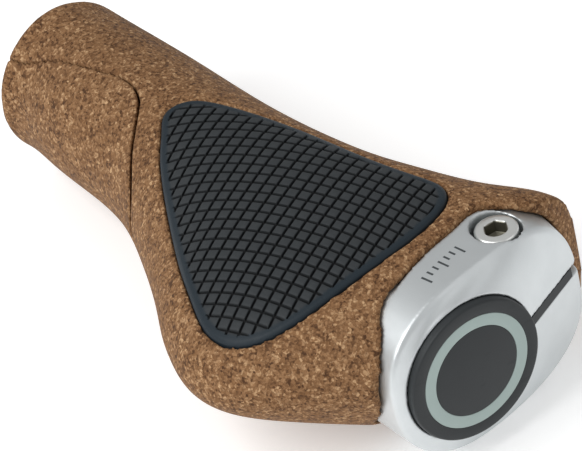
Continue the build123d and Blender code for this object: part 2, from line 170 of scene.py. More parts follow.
class Bench:
    """Builds one material's node tree."""

    def __init__(self, name: str) -> None:
        """Starts an empty material.

        Args:
            name: the material's name.
        """
        self.material = bpy.data.materials.new(name)
        self.material.use_nodes = True
        self.tree = self.material.node_tree
        self.tree.nodes.clear()

    def _add(self, kind: str, settings: dict[str, Any], inputs: Inputs) -> bpy.types.Node:
        """Adds a node: its type and settings first, then its inputs.

        Args:
            kind: the node's type name.
            settings: attributes, and "stops" for a colour ramp.
            inputs: values or signals by socket name or index.

        Returns:
            The node.
        """
        made = self.tree.nodes.new(kind)
        for key, value in settings.items():
            if key == "stops":
                self._set_stops(made.color_ramp, value)
            else:
                setattr(made, key, value)
        for key, value in inputs.items():
            socket = made.inputs[key]
            if isinstance(value, Signal):
                self.tree.links.new(value.socket, socket)
            else:
                socket.default_value = value
        return made

    def node(self, kind: str, settings: Optional[dict[str, Any]] = None,
             inputs: Optional[Inputs] = None, output: Union[int, str] = 0,
             channel: Channel = Channel.VALUE) -> Signal:
        """Adds a node and wraps one of its outputs.

        Args:
            kind: the node's type name.
            settings: its attributes.
            inputs: its values or signals.
            output: the output to wrap.
            channel: what that output carries.

        Returns:
            The wrapped output.
        """
        made = self._add(kind, settings or {}, inputs or {})
        return Signal(self, made.outputs[output], channel)

    @staticmethod
    def _set_stops(ramp: bpy.types.ColorRamp, stops: Sequence[tuple[float, Colour]]) -> None:
        """Gives a colour ramp its stops."""
        while len(ramp.elements) < len(stops):
            ramp.elements.new(0.5)
        for element, (position, colour) in zip(ramp.elements, stops):
            element.position = position
            element.color = (*colour, 1.0)

    def place(self) -> Signal:
        """Object coordinates, in metres."""
        return self.node("ShaderNodeTexCoord", output="Object", channel=Channel.VECTOR)

    def stretch(self, scale: tuple[float, float, float]) -> Signal:
        """Object coordinates multiplied along each axis."""
        inputs = {0: self.place(), 1: scale}
        return self.node("ShaderNodeVectorMath", {"operation": "MULTIPLY"}, inputs,
                         channel=Channel.VECTOR)

    def noise(self, grain: float, detail: float = 3.0, at: Optional[Signal] = None) -> Signal:
        """Noise whose features are about grain metres across.

        Args:
            grain: the size of a feature in metres.
            detail: octaves.
            at: coordinates, or None for object coordinates.

        Returns:
            A value about 0.5.
        """
        inputs = {"Vector": at or self.place(), "Scale": 1 / grain, "Detail": detail}
        return self.node("ShaderNodeTexNoise", {}, inputs)

    def cells(self, grain: float, output: str = "Color", feature: str = "F1") -> Signal:
        """Voronoi cells about grain metres across."""
        channel = Channel.COLOUR if output == "Color" else Channel.VALUE
        inputs = {"Vector": self.place(), "Scale": 1 / grain}
        return self.node("ShaderNodeTexVoronoi", {"feature": feature}, inputs, output, channel)

    def cell_value(self, grain: float) -> Signal:
        """One random number for each Voronoi cell."""
        return self.node("ShaderNodeSeparateColor", {}, {0: self.cells(grain)})

    def ramp(self, value: Signal, stops: Sequence[tuple[float, Colour]]) -> Signal:
        """A colour ramp."""
        return self.node("ShaderNodeValToRGB", {"stops": stops}, {"Fac": value},
                         channel=Channel.COLOUR)

    def mix(self, factor: Union[Signal, float], first: Union[Signal, Colour],
            second: Union[Signal, Colour]) -> Signal:
        """Mixes two colours.

        Args:
            factor: 0 gives the first and 1 the second.
            first: a colour or a signal.
            second: a colour or a signal.

        Returns:
            The mixed colour.
        """
        parts = [c if isinstance(c, Signal) else (*c, 1.0) for c in (first, second)]
        inputs = {0: factor, 6: parts[0], 7: parts[1]}
        return self.node("ShaderNodeMix", {"data_type": "RGBA"}, inputs, 2, Channel.COLOUR)

    def bump(self, height: Signal, depth: float) -> Signal:
        """Turns a height from 0 to 1 into a normal.

        Args:
            height: the height signal.
            depth: metres from 0 to 1.

        Returns:
            The bumped normal.
        """
        inputs = {"Height": height, "Strength": 1.0, "Distance": depth}
        return self.node("ShaderNodeBump", {}, inputs, channel=Channel.VECTOR)

    def attribute(self, name: str) -> Signal:
        """A value stored on the mesh."""
        return self.node("ShaderNodeAttribute", {"attribute_name": name}, output="Fac")

    def finish(self, constants: dict[str, Any], colour: Signal, rough: Signal,
               relief: Optional[Signal] = None, depth: float = 0.0) -> Material:
        """Closes the material with one shader.

        Args:
            constants: values set on the shader's own sockets.
            colour: the base colour.
            rough: the roughness.
            relief: the height of the fine relief, from 0 to 1.
            depth: the relief's depth in metres.

        Returns:
            The finished material.
        """
        inputs = {**constants, "Base Color": colour, "Roughness": rough}
        if relief is not None:
            inputs["Normal"] = self.bump(relief, depth)
        shader = self.node("ShaderNodeBsdfPrincipled", {}, inputs)
        self._add("ShaderNodeOutputMaterial", {}, {"Surface": shader})
        return self.material


# ---- finishes
@dataclass(frozen=True)
class CorkFinish:
    """Cork granules in a rubber binder."""

    name: str = "cork_compound"
    granule: float = 0.95 * MM
    fleck: float = 0.45 * MM
    dark: Colour = (0.074, 0.034, 0.015)
    body: Colour = (0.200, 0.100, 0.044)
    tan: Colour = (0.285, 0.155, 0.074)
    light: Colour = (0.52, 0.33, 0.18)

    def build(self) -> Material:
        """Builds the material."""
        b = Bench(self.name)
        large = b.cell_value(self.granule)
        small = b.cell_value(self.fleck)
        mottle = b.noise(9 * MM, 3.0)
        blend = large * 0.36 + small * 0.50 + mottle * 0.16
        stops = [(0.16, self.dark), (0.40, self.body), (0.66, self.tan), (0.92, self.light)]
        colour = b.ramp(blend, stops)
        seams = b.cells(self.granule, "Distance", "DISTANCE_TO_EDGE").below(0.05, 0.05)
        colour = b.mix(seams * 0.35, colour, self.dark)
        pits = b.noise(0.5 * MM, 4.0)
        colour = b.mix(pits.below(0.4, 0.06) * 0.4, colour, self.dark)
        height = b.cells(self.fleck, "Distance") * 0.6 + pits * 0.9 + b.noise(2.2 * MM, 3.0) * 0.5
        rough = 0.62 + 0.25 * large
        return b.finish({"Specular IOR Level": 0.12}, colour, rough, height, 0.16 * MM)


@dataclass(frozen=True)
class RubberFinish:
    """Matt rubber with painted shade in its grooves, and bluer on its smooth border."""

    name: str = "pad_rubber"
    top: Colour = (0.027, 0.031, 0.034)
    # painted shade: the near-black colour laid into the grooves
    groove: Colour = (0.0035, 0.004, 0.0045)
    border: Colour = (0.010, 0.018, 0.025)
    dusty: Colour = (0.040, 0.045, 0.048)

    def build(self) -> Material:
        """Builds the material from the mesh's groove and border values."""
        b = Bench(self.name)
        groove = b.attribute("groove")
        border = b.attribute("border")
        dust = b.noise(1.4 * MM, 4.0)
        top = b.mix(dust.above(0.56, 0.1) * 0.3, self.top, self.dusty)
        # the groove value darkens the grooves towards near black, painted shade
        colour = b.mix(groove, b.mix(border, top, self.border), self.groove)
        grain = b.noise(0.16 * MM, 3.0) + b.cells(0.35 * MM, "Distance") * 0.4
        rough = 0.52 + 0.16 * dust + 0.2 * groove - 0.08 * border
        return b.finish({"Specular IOR Level": 0.28}, colour, rough, grain, 0.035 * MM)


@dataclass(frozen=True)
class BlastedFinish:
    """Bead-blasted, clear-anodised aluminium."""

    name: str = "blasted_aluminium"
    base: Colour = (0.66, 0.69, 0.70)
    darker_tone: Colour = (0.56, 0.59, 0.60)

    def build(self) -> Material:
        """Builds the material."""
        b = Bench(self.name)
        cloud = b.noise(7 * MM, 4.0)
        beads = b.cells(0.22 * MM, "Distance") + b.noise(0.12 * MM, 2.0) * 0.8
        drag = b.noise(1.0, 3.0, b.stretch((160.0, 1500.0, 1500.0)))
        colour = b.mix(cloud.above(0.5, 0.22) * 0.35, self.base, self.darker_tone)
        rough = 0.36 + 0.10 * cloud + 0.06 * drag
        constants = {"Metallic": 0.88, "Specular IOR Level": 0.5}
        return b.finish(constants, colour, rough, beads, 0.012 * MM)


@dataclass(frozen=True)
class PlatedFinish:
    """Bright plated steel, darkened and browned inside the socket as painted shade."""

    name: str = "plated_steel"
    base: Colour = (0.80, 0.81, 0.79)
    # painted shade: the dark brown laid inside the socket
    darker_tone: Colour = (0.20, 0.19, 0.15)

    def build(self) -> Material:
        """Builds the material from the mesh's socket value, which marks where shade is painted."""
        b = Bench(self.name)
        socket_shade = b.attribute("socket_shade")
        patches = b.noise(0.8 * MM, 4.0)
        # darkens and browns the socket's walls and floor in patches, painted shade
        mask = socket_shade * (0.65 + 0.7 * patches)
        colour = b.mix(mask.above(0.5, 0.3), self.base, self.darker_tone)
        scratches = b.noise(0.25 * MM, 3.0)
        rough = 0.24 + 0.16 * patches + 0.2 * socket_shade
        return b.finish({"Metallic": 0.95}, colour, rough, scratches, 0.02 * MM)


@dataclass(frozen=True)
class PlasticFinish:
    """Moulded plastic with a fine texture."""

    name: str
    base: Colour
    shade: Colour
    roughness: float = 0.42
    texture: float = 0.012 * MM

    def build(self) -> Material:
        """Builds the material."""
        b = Bench(self.name)
        cloud = b.noise(5 * MM, 4.0)
        spark = b.noise(0.18 * MM, 3.0) + b.cells(0.3 * MM, "Distance") * 0.5
        scuff = b.noise(1.0, 4.0, b.stretch((900.0, 240.0, 900.0))).above(0.66, 0.04)
        colour = b.mix(cloud, self.base, self.shade)
        rough = self.roughness + 0.1 * cloud + 0.1 * scuff
        return b.finish({"Specular IOR Level": 0.3}, colour, rough, spark, self.texture)


@dataclass(frozen=True)
class InkFinish:
    """Thin dark print on metal."""

    name: str = "dark_print"
    base: Colour = (0.035, 0.042, 0.045)
    thin: Colour = (0.16, 0.18, 0.18)

    def build(self) -> Material:
        """Builds the material, a little uneven as print is."""
        b = Bench(self.name)
        uneven = b.noise(0.3 * MM, 3.0)
        colour = b.mix(uneven.above(0.62, 0.08) * 0.5, self.base, self.thin)
        return b.finish({}, colour, 0.5 + 0.2 * uneven, uneven, 0.006 * MM)


@dataclass(frozen=True)
class FloorFinish:
    """Plain pale paper."""

    name: str = "pale_floor"
    base: Colour = (0.93, 0.93, 0.93)
    fibre: Colour = (0.88, 0.88, 0.88)
    glow: float = 0.3

    def build(self) -> Material:
        """Builds the material."""
        b = Bench(self.name)
        fibre = b.noise(2.5 * MM, 3.0)
        colour = b.mix(fibre * 0.06, self.base, self.fibre)
        constants = {"Specular IOR Level": 0.1, "Emission Color": (1.0, 1.0, 1.0, 1.0),
                     "Emission Strength": self.glow}
        return b.finish(constants, colour, 0.85 + 0.05 * fibre)


CAP_SLATE = PlasticFinish("slate_plastic", (0.020, 0.023, 0.025), (0.028, 0.032, 0.034), 0.45)
RING_GREY = PlasticFinish("ring_plastic", (0.36, 0.44, 0.42), (0.33, 0.41, 0.39), 0.46)
SLEEVE_BLACK = PlasticFinish("sleeve_plastic", (0.020, 0.021, 0.022), (0.030, 0.031, 0.032), 0.5,
                             0.03 * MM)


# ---- mesh helpers
def linked(name: str, data: bpy.types.ID) -> Piece:
    """Makes an object of a mesh, a lamp or a camera and puts it in the scene."""
    made = bpy.data.objects.new(name, data)
    bpy.context.scene.collection.objects.link(made)
    return made


def mesh_object(name: str, vertices: np.ndarray, faces: Faces, smooth: bool = True) -> Piece:
    """Makes a linked mesh object.

    Args:
        name: the piece's name.
        vertices: points in metres, one per row.
        faces: vertex numbers of each face.
        smooth: whether faces are shaded smooth.

    Returns:
        The object.
    """
    mesh = bpy.data.meshes.new(name)
    points = [tuple(map(float, v)) for v in vertices]
    mesh.from_pydata(points, [], [tuple(map(int, f)) for f in faces])
    mesh.validate()
    fixer = bmesh.new()
    fixer.from_mesh(mesh)
    bmesh.ops.recalc_face_normals(fixer, faces=fixer.faces)
    fixer.to_mesh(mesh)
    fixer.free()
    if smooth:
        mesh.polygons.foreach_set("use_smooth", [True] * len(mesh.polygons))
    return linked(name, mesh)


def store(piece: Piece, name: str, values: Sequence[float]) -> None:
    """Stores one number for each vertex, for a material to read."""
    layer = piece.data.attributes.new(name, "FLOAT", "POINT")
    layer.data.foreach_set("value", np.asarray(values, np.float32))


def dress(piece: Piece, material: Material, body: str, slot: str, *nodes: str) -> None:
    """Gives a piece its material and body, and hides the nodes that it stands for.

    Args:
        piece: the piece.
        material: its finish.
        body: the CAD body that it rides on.
        slot: not used.
        nodes: the CAD nodes that it replaces.
    """
    piece.data.materials.clear()
    piece.data.materials.append(material)
    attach(piece, body)
    if nodes:
        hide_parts(*nodes)
    log.info("%s: %d faces, rides on %s", piece.name, len(piece.data.polygons), body)


def crease_by_angle(piece: Piece, degrees: float) -> None:
    """Shades smooth except across edges sharper than an angle."""
    mesh = piece.data
    work = bmesh.new()
    work.from_mesh(mesh)
    limit = math.radians(degrees)
    for edge in work.edges:
        edge.smooth = len(edge.link_faces) != 2 or edge.calc_face_angle(0.0) < limit
    work.to_mesh(mesh)
    work.free()


def relief_of(node: str, name: str, voxel: float, passes: int) -> Piece:
    """Copies a CAD node's form as an even mesh with softly rounded edges.

    Args:
        node: the CAD node.
        name: the new piece's name.
        voxel: the size of a mesh cell.
        passes: how often the edges are smoothed.

    Returns:
        The new piece.
    """
    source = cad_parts[node]
    work = bmesh.new()
    work.from_mesh(source.data)
    bmesh.ops.remove_doubles(work, verts=work.verts, dist=WELD)
    bmesh.ops.recalc_face_normals(work, faces=work.faces)
    mesh = bpy.data.meshes.new(name)
    work.to_mesh(mesh)
    work.free()
    piece = linked(name, mesh)
    remesh = piece.modifiers.new("even_cells", "REMESH")
    remesh.mode = "VOXEL"
    remesh.voxel_size = voxel
    remesh.adaptivity = 0.0
    soften = piece.modifiers.new("soft_edges", "SMOOTH")
    soften.factor = 0.5
    soften.iterations = passes
    bake_modifiers(piece)
    piece.data.polygons.foreach_set("use_smooth", [True] * len(piece.data.polygons))
    return piece


def bake_modifiers(piece: Piece) -> None:
    """Applies every modifier of a piece to its mesh."""
    bpy.context.view_layer.update()
    graph = bpy.context.evaluated_depsgraph_get()
    result = bpy.data.meshes.new_from_object(piece.evaluated_get(graph))
    piece.modifiers.clear()
    old = piece.data
    piece.data = result
    result.name = piece.name
    bpy.data.meshes.remove(old)


def ring_faces(rows: int, columns: int, closed_rows: bool = False, offset: int = 0) -> Faces:
    """Quads between rows of points that each go right round.

    Args:
        rows: number of rows.
        columns: points in a row.
        closed_rows: whether the last row joins the first.
        offset: number of the first vertex.

    Returns:
        The faces.
    """
    faces = []
    for i in range(rows if closed_rows else rows - 1):
        for j in range(columns):
            a, b = i * columns, ((i + 1) % rows) * columns
            k = (j + 1) % columns
            faces.append((offset + a + j, offset + a + k, offset + b + k, offset + b + j))
    return faces


def closed_tube(rows: int, columns: int, offset: int) -> Faces:
    """Quads between rows of points that each go right round, and a face over each end."""
    last = offset + (rows - 1) * columns
    ends = [tuple(range(offset + columns - 1, offset - 1, -1)), tuple(range(last, last + columns))]
    return ring_faces(rows, columns, False, offset) + ends


class Axle(Enum):
    """The axis that a turned form goes round."""

    ALONG_X = "x"
    ALONG_Z = "z"


def turned(profile: Profile, centre: Vector, axle: Axle, columns: int,
           radius_at: Optional[RadiusRule] = None) -> tuple[np.ndarray, Faces]:
    """Points and faces of a form turned round an axis.

    Args:
        profile: (radius, height along the axis) of each row, from one end to the other.
        centre: where the axis starts.
        axle: the axis.
        columns: points in a row.
        radius_at: a row's radius at an angle, from its number, the angle and its plain radius.

    Returns:
        Vertices and faces, closed at a row of radius 0.
    """
    points = []
    for row, (radius, height) in enumerate(profile):
        for j in range(columns):
            angle = 2 * math.pi * j / columns
            r = radius_at(row, angle, radius) if radius_at else radius
            a, b = r * math.cos(angle), r * math.sin(angle)
            offset = (height, a, b) if axle is Axle.ALONG_X else (a, b, height)
            points.append(Vector(offset) + centre)
    return np.array(points), ring_faces(len(profile), columns)


def rounded(corners: Profile, radius: float, steps: int) -> Profile:
    """A profile with its inner corners rounded.

    Args:
        corners: the profile's corners.
        radius: the rounding, limited by the sides' lengths.
        steps: points on each rounding.

    Returns:
        The rounded profile.
    """
    out = [corners[0]]
    for before, corner, after in zip(corners, corners[1:], corners[2:]):
        p, c, n = (Vector(q) for q in (before, corner, after))
        cut = min(radius, 0.45 * (p - c).length, 0.45 * (n - c).length)
        start, end = c + (p - c).normalized() * cut, c + (n - c).normalized() * cut
        for i in range(steps + 1):
            t = i / steps
            out.append(tuple((1 - t) ** 2 * start + 2 * t * (1 - t) * c + t * t * end))
    out.append(corners[-1])
    return out


def eased_ring(name: str, centre: Vector, axle: Axle, columns: int, radii: tuple[float, float],
               ends: tuple[float, float], ease: float, steps: int) -> Piece:
    """Makes a ring of rectangular section with eased edges.

    Args:
        name: the piece's name.
        centre: where the axis starts.
        axle: the axis.
        columns: points round the ring.
        radii: the inner and the outer radius.
        ends: the lower and the upper end along the axis.
        ease: the rounding of the edges.
        steps: points on each rounding.

    Returns:
        The ring.
    """
    (inner, outer), (low, top) = radii, ends
    middle = (outer + inner) / 2
    corners = [(middle, low), (outer, low), (outer, top), (inner, top), (inner, low), (middle, low)]
    profile = rounded(corners, ease, steps)[:-1]
    points, _ = turned(profile, centre, axle, columns)
    return mesh_object(name, points, ring_faces(len(profile), columns, True))


def sheet_edge(faces: Faces) -> list[int]:
    """Vertex numbers round the open edge of a sheet, in order."""
    ahead: dict[int, int] = {}
    for face in faces:
        for a, b in zip(face, face[1:] + face[:1]):
            if ahead.get(b) == a:
                del ahead[b]
            else:
                ahead[a] = b
    start = min(ahead)
    loop = [start]
    while ahead[loop[-1]] != start:
        loop.append(ahead[loop[-1]])
    return loop


def paint_node(node: str, material: Material) -> None:
    """Gives a CAD node that stays in view its material."""
    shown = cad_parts[node]
    if not shown.data.materials:
        shown.data.materials.append(material)
    for place in shown.material_slots:
        place.material = material
    log.info("%s: finish %s", node, material.name)


# ---- cork
@dataclass
class CorkCover:
    """The moulded cork cover, its barrel panel, and the hard core that carries them."""

    cover_cell: float = 0.62 * MM
    panel_cell: float = 0.42 * MM
    cover_passes: int = 4
    panel_passes: int = 5

    def build(self) -> None:
        """Builds both cork pieces and dresses the core."""
        cork = CorkFinish().build()
        cover = relief_of("cork_body", "cork_cover", self.cover_cell, self.cover_passes)
        dress(cover, cork, "grip", "cork", "cork_body")
        panel = relief_of("barrel_panel", "cork_panel", self.panel_cell, self.panel_passes)
        dress(panel, cork, "grip", "cork", "barrel_panel")
        black = SLEEVE_BLACK.build()
        paint_node("core_sleeve", black)
        paint_node("wing_frame", black)


# ---- palm pad
@dataclass
class PalmPad:
    """The rubber pad: lozenges between two families of grooves, inside a smooth rounded border."""

    row_pitch: float = 2.4 * MM
    column_pitch: float = 2.65 * MM
    row_turn: float = 21.0
    row_bend: float = 5.0
    bend_start: float = -6.0 * MM
    column_turn: float = 113.0
    floor_half: float = 0.19 * MM
    wall_half: float = 0.30 * MM
    ease_half: float = 0.48 * MM
    depth: float = 0.62 * MM
    ease_depth: float = 0.09 * MM
    border: float = 1.5 * MM
    rim_inset: float = 1.0 * MM
    rim_round: float = 0.75 * MM
    thickness: float = 1.8 * MM
    clearance: float = 0.10 * MM
    body_lines: tuple[float, ...] = (0.36, 0.5, 0.64)
    rim_steps: tuple[float, ...] = (0.18, 0.36, 0.54, 0.7, 0.82, 0.91, 0.97, 1.0)
    outline_points: int = 360
    outline_passes: int = 6
    batch: int = 4000
    run_out: float = 0.2 * MM
    border_shift: float = 0.25 * MM
    border_fade: float = 0.4 * MM
    surface_inset: float = 0.3 * MM
    spread: float = 1.35
    crease: float = 38.0

    def build(self) -> None:
        """Builds the pad."""
        self._read_frame()
        plan, faces = self._clipped_grid()
        edge = sheet_edge(faces)
        plan, faces = self._with_rim(plan, faces, edge)
        inside = self._depth_inside(plan)
        top = self._surface(plan)
        groove = self._groove(plan) * np.clip((inside - self.border) / self.run_out, 0, 1)
        drop = np.clip(self.rim_round - inside, 0, self.rim_round)
        rounding = self.rim_round - np.sqrt(np.maximum(self.rim_round ** 2 - drop ** 2, 0))
        upper = np.column_stack([plan, top - groove * self.depth - rounding])
        lower = np.column_stack([plan, top - self.thickness])
        count = len(plan)
        loop = sheet_edge(faces)
        both = faces + [tuple(count + i for i in reversed(f)) for f in faces]
        both += [(b, a, a + count, b + count) for a, b in zip(loop, loop[1:] + loop[:1])]
        pad = mesh_object("palm_pad_grooved", np.vstack([upper, lower]), both)
        # the groove value also darkens the rubber's colour in the grooves, painted shade
        store(pad, "groove", np.concatenate([groove, np.zeros(count)]))
        edge_mask = np.clip((self.border + self.border_shift - inside) / self.border_fade, 0, 1)
        store(pad, "border", np.concatenate([edge_mask, np.ones(count)]))
        crease_by_angle(pad, self.crease)
        dress(pad, RubberFinish().build(), "grip", "pad_rubber", "palm_pad")

    def _read_frame(self) -> None:
        """Reads the outline in plan and the surface from the pad's CAD node."""
        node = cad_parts["palm_pad"]
        work = bmesh.new()
        work.from_mesh(node.data)
        bmesh.ops.remove_doubles(work, verts=work.verts, dist=WELD)
        work.normal_update()
        work.verts.ensure_lookup_table()
        self.tree = BVHTree.FromBMesh(work)
        work.verts.index_update()
        upright = {v.index for f in work.faces if abs(f.normal.z) < 0.1 for v in f.verts}
        rim = np.array([work.verts[i].co[:2] for i in upright])
        work.free()
        middle = rim.mean(axis=0)
        rim = rim[np.argsort(np.arctan2(rim[:, 1] - middle[1], rim[:, 0] - middle[0]))]
        closed = np.vstack([rim, rim[:1]])
        travel = np.concatenate([[0], np.cumsum(np.linalg.norm(np.diff(closed, axis=0), axis=1))])
        even = np.linspace(0, travel[-1], self.outline_points, endpoint=False)
        outline = np.column_stack([np.interp(even, travel, closed[:, k]) for k in (0, 1)])
        for _ in range(self.outline_passes):
            outline = 0.5 * outline + 0.25 * (np.roll(outline, 1, 0) + np.roll(outline, -1, 0))
        self.outline = outline
        self.middle = middle

    def _nearest(self, plan: np.ndarray) -> np.ndarray:
        """The outline's point nearest to each point in plan."""
        start = self.outline
        along = np.roll(start, -1, 0) - start
        out = np.empty_like(plan)
        for first in range(0, len(plan), self.batch):
            part = plan[first:first + self.batch, None, :] - start
            share = np.clip((part * along).sum(2) / (along ** 2).sum(1), 0, 1)
            gap = np.linalg.norm(part - share[..., None] * along, axis=2)
            best = gap.argmin(1)
            rows = np.arange(len(best))
            out[first:first + self.batch] = start[best] + share[rows, best][:, None] * along[best]
        return out

    def _depth_inside(self, plan: np.ndarray) -> np.ndarray:
        """Distance of each point from the pad's edge, positive inside."""
        distance = np.linalg.norm(plan - self._nearest(plan), axis=1)
        following = np.roll(self.outline, -1, 0)
        crossings = np.zeros(len(plan), int)
        for (x0, y0), (x1, y1) in zip(self.outline, following):
            spans = (y0 > plan[:, 1]) != (y1 > plan[:, 1])
            if y1 != y0:
                crossings += spans & (plan[:, 0] < x0 + (plan[:, 1] - y0) * (x1 - x0) / (y1 - y0))
        return np.where(crossings % 2 == 1, distance, -distance) - self.clearance

    def _surface(self, plan: np.ndarray) -> np.ndarray:
        """Height of the pad's plain top at each point."""
        nearest = self._nearest(plan)
        inward = plan - nearest
        length = np.maximum(np.linalg.norm(inward, axis=1), 1e-9)
        moved = nearest + inward / length[:, None] * self.surface_inset
        safe = np.where((length < self.surface_inset)[:, None], moved, plan)
        heights = np.empty(len(plan))
        for i, (x, y) in enumerate(safe):
            hit = self.tree.ray_cast(Vector((x, y, RAY_START)), DOWN)[0]
            heights[i] = hit.z if hit else np.nan
        known = ~np.isnan(heights)
        heights[~known] = heights[known].mean()
        return heights

    def _axes(self) -> tuple[np.ndarray, np.ndarray]:
        """Unit vectors across the two families of grooves."""
        pair = []
        for turn in (self.row_turn, self.column_turn):
            angle = math.radians(turn)
            pair.append(np.array([-math.sin(angle), math.cos(angle)]))
        return pair[0], pair[1]

    def _profile(self, offset: np.ndarray, pitch: float) -> np.ndarray:
        """Groove depth from 0 to 1 at a distance from the nearest groove's middle line."""
        away = np.abs((offset / pitch + 0.5) % 1.0 - 0.5) * pitch
        return np.interp(away, [self.floor_half, self.wall_half, self.ease_half],
                         [1.0, self.ease_depth / self.depth, 0.0])

    def _groove(self, plan: np.ndarray) -> np.ndarray:
        """Groove depth from 0 to 1 at each point."""
        first, second = self._axes()
        local = plan - self.middle
        across = local @ second
        rows = local @ first + self.row_bend * (across - self.bend_start) ** 2
        return np.maximum(self._profile(rows, self.row_pitch),
                          self._profile(across, self.column_pitch))

    def _lines(self, pitch: float) -> np.ndarray:
        """Places of the grid's lines across one family of grooves."""
        reach = self.spread * np.linalg.norm(self.outline - self.middle, axis=1).max()
        halves = [self.floor_half, self.wall_half, self.ease_half]
        marks = sorted([-h for h in halves] + halves + [share * pitch for share in self.body_lines])
        turns = range(-int(reach / pitch) - 1, int(reach / pitch) + 2)
        return np.array([k * pitch + m for k in turns for m in marks])

    def _clipped_grid(self) -> tuple[np.ndarray, Faces]:
        """A grid that follows the grooves, cut along a line just inside the rim.

        Returns:
            Points in plan, and faces.
        """
        first, second = self._axes()
        grid = np.linalg.inv(np.array([first, second]))
        a, b = np.meshgrid(self._lines(self.row_pitch), self._lines(self.column_pitch),
                           indexing="ij")
        rows, columns = a.shape
        straight = a - self.row_bend * (b - self.bend_start) ** 2
        plan = np.column_stack([straight.ravel(), b.ravel()]) @ grid.T + self.middle
        level = self._depth_inside(plan) - self.rim_inset
        points = [tuple(p) for p in plan]
        cuts: dict[tuple[int, int], int] = {}
        faces: Faces = []
        for i in range(rows - 1):
            for j in range(columns - 1):
                corner = i * columns + j
                quad = (corner, corner + columns, corner + columns + 1, corner + 1)
                inside = [level[k] >= 0 for k in quad]
                if not any(inside):
                    continue
                if all(inside):
                    faces.append(quad)
                    continue
                faces.append(self._clip(quad, level, points, cuts))
        used = sorted({k for f in faces for k in f})
        renumber = {old: new for new, old in enumerate(used)}
        kept = [tuple(renumber[k] for k in f) for f in faces if len(f) > 2]
        return np.array([points[k] for k in used]), kept

    @staticmethod
    def _clip(quad: Sequence[int], level: np.ndarray, points: list[tuple[float, float]],
              cuts: dict[tuple[int, int], int]) -> tuple[int, ...]:
        """Cuts one face where level is 0, sharing the new points.

        Args:
            quad: the face.
            level: a value for each grid point, positive inside.
            points: all points, which grow.
            cuts: the new points, by the edge that they cut.

        Returns:
            The part that lies inside.
        """
        out: list[int] = []
        for k, m in zip(quad, list(quad[1:]) + [quad[0]]):
            if level[k] >= 0:
                out.append(k)
            if (level[k] >= 0) != (level[m] >= 0):
                key = (min(k, m), max(k, m))
                if key not in cuts:
                    share = level[key[0]] / (level[key[0]] - level[key[1]])
                    p, q = np.array(points[key[0]]), np.array(points[key[1]])
                    cuts[key] = len(points)
                    points.append(tuple(p + share * (q - p)))
                out.append(cuts[key])
        return tuple(out)

    def _with_rim(self, plan: np.ndarray, faces: Faces,
                  edge: list[int]) -> tuple[np.ndarray, Faces]:
        """Adds rings from the grid's edge out to the pad's edge.

        Args:
            plan: the grid's points.
            faces: the grid's faces.
            edge: the grid's edge, in order.

        Returns:
            All points and faces.
        """
        start = plan[edge]
        nearest = self._nearest(start)
        outward = nearest - start
        length = np.linalg.norm(outward, axis=1, keepdims=True)
        target = start + outward / length * (length - self.clearance)
        rings = [start + step * (target - start) for step in self.rim_steps]
        grown = np.vstack([plan] + rings)
        columns, before = len(edge), edge
        out = list(faces)
        for number in range(len(rings)):
            after = [len(plan) + number * columns + k for k in range(columns)]
            for k in range(columns):
                m = (k + 1) % columns
                out.append((before[m], before[k], after[k], after[m]))
            before = after
        return grown, out


# ---- collar
@dataclass
class Collar:
    """The split collar that pinches the bar, with its spacer and a plain row of marks."""

    cell: float = 0.30 * MM
    passes: int = 5
    mark_count: int = 7
    mark_step: float = 1.55 * MM
    mark_width: float = 0.42 * MM
    long_mark: float = 2.6 * MM
    short_mark: float = 1.5 * MM
    mark_start: tuple[float, float] = (0.1222, 0.0075)
    mark_lean: float = -11.0
    mark_parts: int = 6
    long_every: int = 3
    print_rise: float = 0.02 * MM
    print_sink: float = 0.08 * MM

    def build(self) -> None:
        """Builds the collar and its marks."""
        collar = relief_of("clamp_body", "collar_body", self.cell, self.passes)
        metal = BlastedFinish().build()
        dress(collar, metal, "grip", "clamp_metal", "clamp_body")
        paint_node("slot_spacer", CAP_SLATE.build())
        self._marks(collar)

    def _marks(self, collar: Piece) -> None:
        """Prints a row of plain marks on the upper band, each following the surface."""
        tree = BVHTree.FromObject(collar, bpy.context.evaluated_depsgraph_get())
        lean = math.radians(self.mark_lean)
        along = Vector((-math.sin(lean), -math.cos(lean), 0))
        across = Vector((math.cos(lean), -math.sin(lean), 0))
        start = Vector((*self.mark_start, 0))
        points: list[Vector] = []
        faces: Faces = []
        steps = self.mark_parts
        for k in range(self.mark_count):
            length = self.long_mark if k % self.long_every == 0 else self.short_mark
            base = start + along * (k * self.mark_step)
            faces += closed_tube(steps + 1, 4, len(points))
            for i in range(steps + 1):
                corners = []
                for side in (-0.5, 0.5):
                    spot = base + across * (length * i / steps) + along * (side * self.mark_width)
                    hit, normal, _, _ = tree.ray_cast(Vector((spot.x, spot.y, RAY_START)), DOWN)
                    if hit is None:
                        raise ValueError(f"mark {k} leaves the collar")
                    corners.append((hit + normal * self.print_rise, hit - normal * self.print_sink))
                points += [corners[0][0], corners[0][1], corners[1][1], corners[1][0]]
        marks = mesh_object("collar_marks", np.array(points), faces, smooth=False)
        dress(marks, InkFinish().build(), "grip", "clamp_metal")


